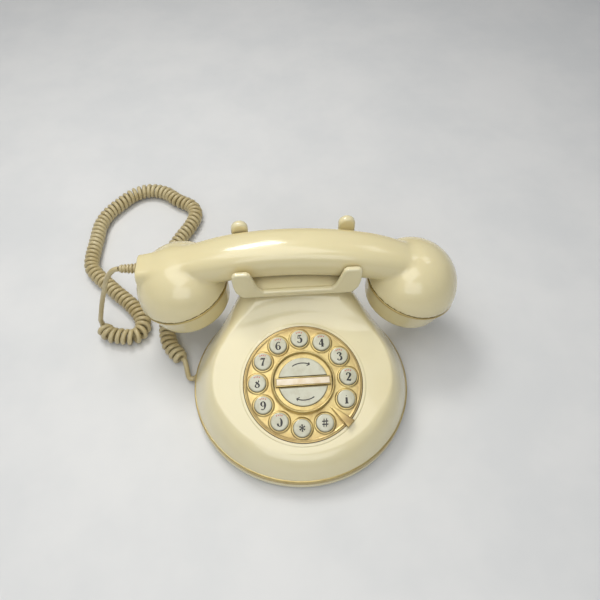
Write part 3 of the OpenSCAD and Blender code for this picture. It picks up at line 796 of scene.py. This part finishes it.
IVORY = ivory_plastic("ivory_moulding", shade_and_grime_strength=0.7)
HANDSET_MARKS = [((0.004, 0.036, 0.116), (0.030, 0.040, 0.1165), 0.0006, 0.5),
                 ((-0.004, 0.030, 0.105), (0.004, 0.028, 0.101), 0.0010, 0.35)]
HANDSET_IVORY = ivory_plastic("handset_moulding", HANDSET_MARKS, shade_and_grime_strength=0.7, age=0.3)
make_housing(IVORY)


def make_base():
    """The tray, with a groove under the gold line, and the line itself."""
    r, under, floor, groove = BASE_R, 2.4, 4.5, BASE_R - 1.6
    tray = rounded([(0, under, 0), (r - 1.8, under, 0.5), (r - 0.5, 3.0, 0.4), (r - 0.2, 3.9, 0.6),
                    (r - 0.2, BASE_H - 1.7, 0.3), (groove, BASE_H - 1.3, 0.2), (groove, BASE_H, 0),
                    (r - 0.6 - WALL, BASE_H, 0.2), (r - 3.4 - WALL, floor, 0.6), (0, floor, 0)])
    piece("base_tray", turned(tray, 256), IVORY, "base", ("base_plate",), sharp=35)
    ring = rounded([(r - 5, BASE_H, 0.2), (r - 0.4, BASE_H, 0.3), (r - 0.02, BASE_H + 0.5, 0.5),
                    (r - 0.02, TRIM_TOP - 0.6, 0.6), (r - 0.6, TRIM_TOP, 0.4), (r - 5, TRIM_TOP, 0.2)])
    piece("base_gold_line", turned(ring, 256), gold("gold_line", radial=False), "base",
          ("base_trim_ring",), sharp=35)


make_base()

# ---- cradle

EAR_X, EAR_TOP, RAIL_LOW, EAR_FRONT, EAR_BACK = 45.7, 98.5, 73.5, 33.8, 37.8
PRONG_FRONT, PRONG_BACK, PRONG_TOP, PRONG_X, PRONG_R = 77.2, 83.0, 104.5, 39.5, 6.2
PLUNGER_Y = 48.0
DECK_X, DECK_Y, DECK_DEPTH, DECK_FLAT_X, DECK_H = 40.0, 59.9, 46.0, 30.5, 3.4
POCKET_R, POCKET_H = 7.4, 2.8


def rail_outline():
    """The front rail with its two ears, as seen from the front."""
    x, low, top = EAR_X, RAIL_LOW, EAR_TOP
    right = [(x - 7, low), (x - 4.2, low + 2.3), (x - 1.7, low + 6.3), (x - 0.4, low + 12.5),
             (x, low + 18.5), (x - 0.3, top - 2), (x - 2.2, top - 0.2), (x - 3.9, top), (x - 10.8, top),
             (x - 12.8, top - 1.6), (x - 17.1, low + 10.9), (x - 18.8, low + 7.6), (x - 21.4, low + 5.3)]
    return right + [(-a, z) for a, z in right[::-1]]


def cradle_field(p):
    """Distance to the cradle: rail and ears, deck, saddle and two rear prongs."""
    x, y, z = axes_of(p)
    rail = slab_between(outline_distance(x, z, rail_outline()), y - (EAR_FRONT + EAR_BACK) / 2,
                        (EAR_BACK - EAR_FRONT) / 2, 1.2)
    # the deck gets thinner towards its sides, clear of the handset
    thin = RAIL_LOW + DECK_H - 0.19 * np.maximum(np.abs(x) - DECK_FLAT_X, 0)
    plan = np.maximum(np.abs(x) - DECK_X, np.abs(y - DECK_Y) - DECK_DEPTH / 2)
    deck = np.maximum(slab_between(plan, z - RAIL_LOW - DECK_H / 2, DECK_H / 2, 0.8), z - thin)
    top = 79.1 - 0.0028 * x * x - 0.0045 * (y - 53) ** 2
    saddle = soft_max(soft_max(z - top, np.abs(x) - 26.5, 2.0), np.maximum(74 - z, np.abs(y - 57) - 20), 1.0)
    body = soft_min(soft_min(rail, saddle, 1.2), deck, 1.2)
    for side in (-1, 1):
        u = np.abs(x - side * PRONG_X)
        flat = np.maximum(u - PRONG_R, RAIL_LOW - z)
        flat = np.where(z > PRONG_TOP - PRONG_R, np.hypot(u, z - PRONG_TOP + PRONG_R) - PRONG_R, flat)
        prong = slab_between(flat, y - (PRONG_FRONT + PRONG_BACK) / 2, (PRONG_BACK - PRONG_FRONT) / 2, 2.2)
        body = soft_min(body, prong, 1.2)
    body = np.maximum(body, RAIL_LOW - z)
    # the spring's pocket under the deck
    return np.maximum(body, -np.maximum(np.hypot(x, y - PLUNGER_Y) - POCKET_R, z - RAIL_LOW - POCKET_H))


def rods(spots):
    """Upright rods of (x, y, radius, low, high)."""
    parts = []
    for x, y, r, low, high in spots:
        verts, faces = turned([(0, low), (r - 0.4, low), (r, low + 0.4), (r, high), (0, high)], 32)
        parts.append((verts + (x, y, 0), faces))
    return joined(*parts)


def make_cradle():
    step = 0.75
    fork = implicit(cradle_field, (-47.2, 32.3, 72), (47.2, 84.5, 106), step)
    piece("cradle_fork", fork, IVORY, "cradle", ("cradle",), sharp=60)
    guides = rods([(0, PLUNGER_Y, 3, 54.4, 76.6), (-28, 54, 2.4, 62, 75.4), (28, 54, 2.4, 62, 75.4)])
    piece("cradle_guides", guides, IVORY, "cradle")


make_cradle()

# ---- handset

EAR_END_X, SEAM = 106.0, 0.35


def grip_height(x):
    """The grip's middle line: an arch, bent further down towards the cord's end."""
    t = GRIP_LEFT - x
    left = GRIP_Z0 - ARCH_DROP * (GRIP_LEFT / ARCH_X) ** 2 - 0.263 * t + 0.00092 * t * t
    return np.where(x > GRIP_LEFT, GRIP_Z0 - ARCH_DROP * (x / ARCH_X) ** 2, left)


def grip_field(p):
    """Distance to the grip, a rounded oblong that gets slimmer towards both ends."""
    x, y, z = axes_of(p)
    share = mix(1, 0.72, smooth((np.abs(x) - 50) / 68))
    hw, hh = GRIP_HW * share, GRIP_HH * share
    power = mix(2.4, 3.6, smooth((-x - 70) / 40))
    q = ((np.abs(y) / hw) ** power + (np.abs(z - grip_height(x)) / hh) ** power) ** (1 / power)
    body = (q - 1) * np.minimum(hw, hh)
    body = soft_max(body, -END_X - x, 1.6)
    return soft_max(body, x - EAR_END_X, 6.0)


def handset_field(p):
    """The grip and both domes in one skin, each dome cut open where its cap goes."""
    x, y, z = axes_of(p)
    body = grip_field(p)
    ball_r = math.hypot(CUP_R, DOME_DROP) - 0.04
    for side in (-1, 1):
        c, s = math.cos(CUP_TILT), side * math.sin(CUP_TILT)
        dx, dz = x - side * CUP_X + s * DOME_DROP, z - CUP_Z + c * DOME_DROP
        body = soft_min(body, np.sqrt(dx ** 2 + y ** 2 + dz ** 2) - ball_r, 2.0)
    for side in (-1, 1):
        c, s = math.cos(CUP_TILT), side * math.sin(CUP_TILT)
        dx, dz = x - side * CUP_X, z - CUP_Z
        along = s * dx + c * dz
        across = np.sqrt(np.maximum(dx * dx + y * y + dz * dz - along * along, 0))
        body = np.maximum(body, -np.maximum(along - SEAM, across - CUP_R - 4))
    return body


def punched(radii, n, holes, hole_r):
    """A flat ring in polar steps with round holes in it, its points drawn to the holes' rims."""
    a = np.linspace(0, 2 * math.pi, n, endpoint=False)
    x, y = radii[:, None] * np.cos(a), radii[:, None] * np.sin(a)
    for cx, cy in holes:
        d = np.hypot(x - cx, y - cy)
        pull = np.where(d < hole_r, hole_r / np.maximum(d, 1e-6), 1)
        x, y = cx + (x - cx) * pull, cy + (y - cy) * pull
    inside = np.zeros(x.shape, bool)
    for cx, cy in holes:
        inside |= np.hypot(x - cx, y - cy) < hole_r + 0.002
    shut = inside & np.roll(inside, -1, 1)
    shut = shut[:-1] & shut[1:]
    faces = [(i * n + j, (i + 1) * n + j, (i + 1) * n + (j + 1) % n, i * n + (j + 1) % n)
             for i, j in np.argwhere(~shut)]
    verts = np.stack([x, y, 0 * x], -1).reshape(-1, 3)
    used = np.unique(np.array(faces))
    number = -np.ones(len(verts), int)
    number[used] = np.arange(len(used))
    return verts[used], [tuple(number[list(f)]) for f in faces]


def thicken(obj, depth):
    thick = obj.modifiers.new("thickness", "SOLIDIFY")
    thick.thickness = depth * MM
    thick.offset = -1


def make_handset():
    step = 1.1
    body = implicit(handset_field, (-125, -38, 45), (125, 38, 111), step)
    piece("handset_body", body, HANDSET_IVORY, "handset", ("handset_shell",),
          sharp=60, place=in_handset)
    cup_gold = gold("cup_gold", radial=False)
    for side, word in ((1, "ear"), (-1, "mouth")):
        place = in_cup(side)
        ring = rounded([(31, -1.8, 0.1), (CUP_R - 0.1, -1.8, 0.4), (CUP_R + 0.2, -1.3, 0.4),
                        (CUP_R + 0.2, -0.5, 0.4), (CUP_R - 0.1, 0.0, 0.3), (31, 0.0, 0.1)])
        piece(word + "_gold_line", turned(ring, 160), cup_gold, "handset",
              (word + "_trim_ring",), sharp=35, place=place)
        deep = -CAP_DEPTH
        cap = rounded([(12, deep + 2.4, 0), (12, deep + 0.6, 0), (25.5, deep, 2.5), (29.6, deep + 0.9, 2.5),
                       (31.0, deep + 3.4, 2.5), (34.8, -1.8, 0.5), (32.3, -1.8, 0.3), (28.5, deep + 3.8, 2),
                       (25.9, deep + 2.4, 1.5)], 6)
        piece(word + "_cap_shell", turned(cap, 160), HANDSET_IVORY, "handset",
              (word + "_cap",), sharp=35, place=place)
        hole_r, hole_circle = 1.2, 8
        holes = [polar(hole_circle, math.pi / 3 * k) for k in range(6)]
        verts, faces = punched(np.linspace(hole_r, 12, 40), 180, holes, hole_r)
        verts[:, 2] = deep + 0.6
        flat = piece(word + "_cap_grille", (verts, [f[::-1] for f in faces]), HANDSET_IVORY, "handset",
                     sharp=35, place=place)
        thicken(flat, 1.8)


make_handset()

# ---- dial

GOLD = gold("gold_plate")
KEY = key_plastic("key_cap")
INK = plain("black_ink", rgb(28, 26, 24), rgb(44, 40, 36), 0.35, 300)
RED_INK = plain("red_ink", rgb(196, 96, 86), rgb(176, 70, 64), 0.4, 300)
PLATE_TOP, KEY_TOP, FLANGE_LOW, FLANGE_TOP = 1.2, 4.2, -2.9, -1.7


def key_spot(i):
    return np.array([*polar(KEY_CIRCLE, math.radians(KEY_FIRST + KEY_STEP * i)), 0.0])


def on_key(i):
    return lambda p: on_dial(p + key_spot(i))


def plate_height(x, y):
    """The plate's top: a flat ring with a soft outer bead and a low collar round each key."""
    r = np.hypot(x, y)
    z = PLATE_TOP + 0.35 * smooth((r - 39.2) / 1.0) - 0.9 * smooth((r - 40.4) / 1.2)
    for i in range(12):
        d = np.hypot(x - key_spot(i)[0], y - key_spot(i)[1])
        z = np.maximum(z, PLATE_TOP + 0.7 * smooth((8.0 - d) / 1.0))
    return z


def make_plate():
    """The gold plate: a ring with twelve key holes."""
    holes = [tuple(key_spot(i)[:2]) for i in range(12)]
    verts, faces = punched(np.linspace(20.0, DIAL_R, 110), 900, holes, KEY_R + 0.3)
    verts[:, 2] = plate_height(verts[:, 0], verts[:, 1])
    plate = piece("dial_face", (verts, faces), GOLD, "base", ("dial_plate",), sharp=50,
                  place=on_dial)
    thicken(plate, 1.6)


def box(low, high, bevel):
    """A block between two corners, its upper edges rounded."""
    (x0, y0, z0), (x1, y1, z1) = low, high
    return prism([(x0, y0), (x1, y0), (x1, y1), (x0, y1)], z0, z1, bevel)


def moon(r, cut, z, by=0.0, arc=40, chord=12):
    """One loop of a half-moon key, moved in by a distance and set at height z."""
    r, cut = r - by, cut + by
    first = math.asin(cut / r)
    a = np.linspace(first, math.pi - first, arc)
    x = np.concatenate([r * np.cos(a), np.linspace(-1, 1, chord + 2)[1:-1] * r * math.cos(first)])
    y = np.concatenate([r * np.sin(a), np.full(chord, cut)])
    return np.stack([x, y, np.full(len(x), z)], -1)


def make_center():
    """The raised ring, the label holder with its blank card, and the two half-moon keys."""
    ring = rounded([(20.4, PLATE_TOP, 0), (22.6, PLATE_TOP, 0.2), (22.6, 3.8, 0.8), (22.1, 6.0, 0.6),
                    (21.5, 6.4, 0.5), (20.9, 6.1, 0.5), (20.4, 5.0, 0.3)])
    piece("center_bezel", turned(ring, 160), GOLD, "base", ("dial_center_ring",), sharp=30,
          place=on_dial)
    x, y, rim, low, top = 19.2, 3.1, 0.55, 3.4, 6.0
    bar = joined(box((-x, -y, low), (x, y, 5.3), 0.1), box((-x, -y, low), (x, rim - y, top), 0.2),
                 box((-x, y - rim, low), (x, y, top), 0.2), box((-x, -y, low), (rim - x, y, top), 0.2),
                 box((x - rim, -y, low), (x, y, top), 0.2))
    piece("label_frame", bar, GOLD, "base", ("label_bar",), sharp=30, place=on_dial)
    card = box((-18.4, -2.15, 5.3), (18.4, 2.15, 5.85), 0.12)
    piece("label_blank", card, paper("label_card"), "base", ("label_card",), sharp=30,
          place=on_dial)
    r, cut, wide, high, edge = 17.2, 3.9, 18.6, 4.8, 0.6
    loops = [moon(wide, 2.9, FLANGE_LOW), moon(wide, 2.9, FLANGE_TOP)]
    loops += [moon(r, cut, FLANGE_TOP), moon(r, cut, 4.0)]
    loops += [moon(r, cut, high - edge * (1 - math.sin(q)), edge * (1 - math.cos(q)))
              for q in np.linspace(0.15, math.pi / 2, 6)]
    loops += [moon(r, cut, high, by) for by in (1.5, 3.0, 4.5)]
    arc = [polar(13.2, a) for a in np.radians(np.linspace(122, 66, 9))]
    tip_x, tip_y = arc[-1]
    head = [(tip_x - 0.6, tip_y + 1.3), (tip_x, tip_y), (tip_x - 2.2, tip_y - 0.9)]
    arrow = joined(stroke(arc, 0.75, high + 0.01), stroke(head, 0.7, high + 0.03, step=1))
    for name, way in (("redial_key", 1), ("recall_key", -1)):
        def place(p):
            return on_dial(p * (way, way, 1))
        piece(name + "_cap", loft(loops), KEY, name, (name,), sharp=35, place=place)
        piece(name + "_arrow", arrow, INK, name, sharp=30, place=place)


make_plate()
make_center()


def make_finger_stop():
    """The fixed gold wedge beside the first key."""
    turn = math.radians(KEY_FIRST - KEY_STEP * 0.7)
    wedge = joined(prism([(25, -0.5), (40, -3.2), (40, 3.2), (25, 0.5)], PLATE_TOP, 2.6, 0.2),
                   prism([(27, -0.7), (44, -3.4), (44, 3.4), (27, 0.7)], 2.6, 4.2, 0.5))
    piece("stop_wedge", wedge, GOLD, "base", ("finger_stop",), sharp=30,
          place=lambda p: on_dial(spun(p, turn)))


make_finger_stop()


def make_key(i, name):
    flange = 7.0
    profile = rounded([(0, FLANGE_LOW, 0), (flange, FLANGE_LOW, 0.2), (flange, FLANGE_TOP, 0.2),
                       (KEY_R, FLANGE_TOP, 0.1), (KEY_R, 3.3, 0), (5.9, 3.85, 0.3), (5.2, 4.15, 0.4),
                       (2.6, KEY_TOP, 0), (0, KEY_TOP, 0)])
    piece(name + "_cap", turned(profile, 72), KEY, name, (name,), sharp=40, place=on_key(i))


# Strokes of each mark, as (points, widths) in a box 100 high, its middle at 0. Gaps are wear.
DIGITS = {
    "key_1": [([(2, 20), (1, -10), (0, -42)], 20), ([(-19, -45), (19, -45)], 9),
              ([(-10, 14), (2, 20)], 7), ([(0, 40), (4, 44)], 10)],
    "key_2": [([(-20, 22), (-15, 40), (4, 47), (22, 28), (10, 0), (-24, -38)],
               [15, 10, 8, 20, 15, 5]),
              ([(-26, -38), (0, -36), (16, -42), (27, -24)], [8, 17, 15, 5])],
    "key_3": [([(-20, 27), (-12, 42), (4, 46), (19, 29), (0, 6)],
               [16, 9, 8, 19, 6]),
              ([(0, 6), (20, -4), (22, -30), (2, -46), (-16, -43), (-21, -28)],
               [6, 13, 20, 8, 8, 17])],
    "key_4": [([(8, 47), (-30, -16)], 7), ([(-30, -18), (29, -18)], 9),
              ([(9, 47), (9, -44)], 20), ([(-5, -45), (24, -45)], 8)],
    "key_5": [([(-15, 40), (5, 38), (24, 45)], [10, 16, 7]),
              ([(-15, 43), (-19, 6)], 6),
              ([(-19, 5), (3, 13), (22, -5), (18, -34), (-2, -46), (-17, -41),
                (-21, -28)], [6, 10, 20, 16, 7, 9, 17])],
    "key_6": [([(21, 36), (5, 46), (-14, 28), (-22, -8), (-14, -38), (2, -46),
                (18, -33), (21, -14), (8, 5), (-12, 0)],
               [14, 7, 12, 20, 13, 7, 16, 17, 7, 5])],
    "key_7": [([(-22, 26), (-14, 41), (8, 38), (27, 44)], [6, 15, 17, 7]),
              ([(27, 44), (6, 6), (-6, -44)], [6, 13, 21])],
    "key_8": [([(-16, 22), (0, 5), (18, -12), (20, -30), (0, -46), (-20, -32),
                (-16, -12), (2, 4)], [17, 17, 17, 14, 6, 14, 9, 5]),
              ([(6, 6), (17, 24), (16, 40)], [5, 11, 5])],
    "key_0": [([(6, 46), (20, 24), (22, -5), (16, -34), (0, -46), (-17, -32),
                (-22, -12)], [5, 16, 21, 15, 6, 15, 17])],
    "key_star": [([(-30 * math.cos(a), -36 * math.sin(a)), (0, 0),
                   (30 * math.cos(a), 36 * math.sin(a))], [15, 6, 15])
                 for a in np.radians([90, 30, 150])],
    "key_hash": [([(-16, -40), (-8, 40)], 7.5), ([(8, -40), (16, 40)], 7.5),
                 ([(-30, -15), (30, -15)], 10), ([(-30, 15), (30, 15)], 10)],
}
# a nine is a six turned by half
DIGITS["key_9"] = [([(-x, -y) for x, y in points], widths) for points, widths in DIGITS["key_6"]]


def make_marks(i, name):
    """The printed mark on a key, and over it the short red ticks that stand for small letters."""
    unit, drop = (0.07, -0.2) if name in ("key_star", "key_hash") else (0.061, -0.7)
    parts = []
    for k, (points, widths) in enumerate(DIGITS[name]):
        line = [(x * unit, y * unit + drop) for x, y in points]
        parts.append(stroke(line, np.array(widths) * unit * 1.25, KEY_TOP + 0.012 * k))
    piece(name + "_mark", joined(*parts), INK, name, sharp=30, place=on_key(i))
    if name in ("key_1", "key_star", "key_hash"):
        return
    ticks = [stroke([polar(3.75, a), polar(4.7, a)], 0.62, KEY_TOP - 0.05)
             for a in np.radians([64, 82, 98, 116])]
    piece(name + "_ticks", joined(*ticks), RED_INK, name, sharp=30, place=on_key(i))


KEY_NAMES = ["key_" + word for word in "1 2 3 4 5 6 7 8 9 0 star hash".split()]
for index, key_name in enumerate(KEY_NAMES):
    make_key(index, key_name)
    make_marks(index, key_name)

# ---- parts that stay as the frame has them

RUBBER = plain("foot_rubber", rgb(38, 38, 40), rgb(58, 57, 56), 0.75, 260, bump=0.25)
STEEL = plain("zinc_plate", rgb(164, 166, 170), rgb(192, 193, 192), 0.30, 220, metallic=0.95, bump=0.08)
BLACK = plain("black_moulding", rgb(34, 34, 37), rgb(48, 47, 48), 0.48, 300, bump=0.14)
SWITCH = plain("lever_nylon", rgb(204, 204, 196), rgb(222, 220, 208), 0.45, 240, bump=0.10)
RIBBON = plain("ribbon_sheath", rgb(148, 149, 154), rgb(172, 172, 176), 0.50, 420, bump=0.12)


def circuit_board(name):
    """Green lacquer over copper tracks, which show as lighter, slightly raised lines."""
    n = Nodes(name)
    tracks = n.new("ShaderNodeTexBrick", {"Vector": n.place, "Scale": 160.0, "Mortar Size": 0.06,
                                          "Mortar Smooth": 0.3}).outputs["Fac"]
    cloud = n.cloud(90, 4, 0.6, 0.35, 0.7)
    colour = n.blend(cloud, rgb(24, 84, 46), rgb(34, 104, 58))
    n.set(base_color=n.tint(colour, tracks, 0.7, rgb(70, 148, 84)))
    n.set(roughness=n.cloud(300, 4, 0.6, 0.3, 0.7, 0.28, 0.42))
    n.set(normal=n.bump(tracks, 0.25, 0.0001))
    return n.mat


BOARD = circuit_board("board_lacquer")
CARRIED = {
    GOLD: ("center_insert",),
    RUBBER: ("foot_ring", "keypad_mat", "capsule_gaskets"),
    STEEL: ("base_screws", "keypad_screws", "hook_pin", "hook_spring", "ballast_plate", "handset_weight"),
    BLACK: ("keypad_frame", "sounder", "line_jack", "ringer_switch_body", "hook_bracket", "hook_switch",
            "receiver_capsule", "microphone_capsule"),
    SWITCH: ("hook_lever",),
    RIBBON: ("keypad_ribbon",),
    BOARD: ("keypad_board", "main_board"),
    CORD: ("cord_grommet",),
}
for finish, names in CARRIED.items():
    for node_name in names:
        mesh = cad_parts[node_name].data
        mesh.materials.clear()
        mesh.materials.append(finish)


def make_small_parts():
    """The ringer switch's ribbed knob and the line socket's six contact springs."""
    face_y, ribs = 77.0, 4
    knob = [box((28, 54.5, 20.2), (32, face_y, 23.8), 0.3)]
    knob += [box((28.2 + k, face_y, 20.4), (28.8 + k, face_y + 1, 23.6), 0.15) for k in range(ribs)]
    piece("ringer_knob_ribbed", joined(*knob), IVORY, "ringer_knob",
          ("ringer_switch_knob",), sharp=30)
    springs = []
    for k in range(6):
        x = -3.5 + 1.4 * k
        line = curve_through([(x, 65.4, 27.2), (x, 70, 26.0), (x, 75, 23.6), (x, 76.2, 23.3)], 5)
        springs.append(swept(line, 0.25, 8))
    piece("jack_contacts", joined(*springs), gold("contact_gold", radial=False), "base",
          sharp=40)


make_small_parts()
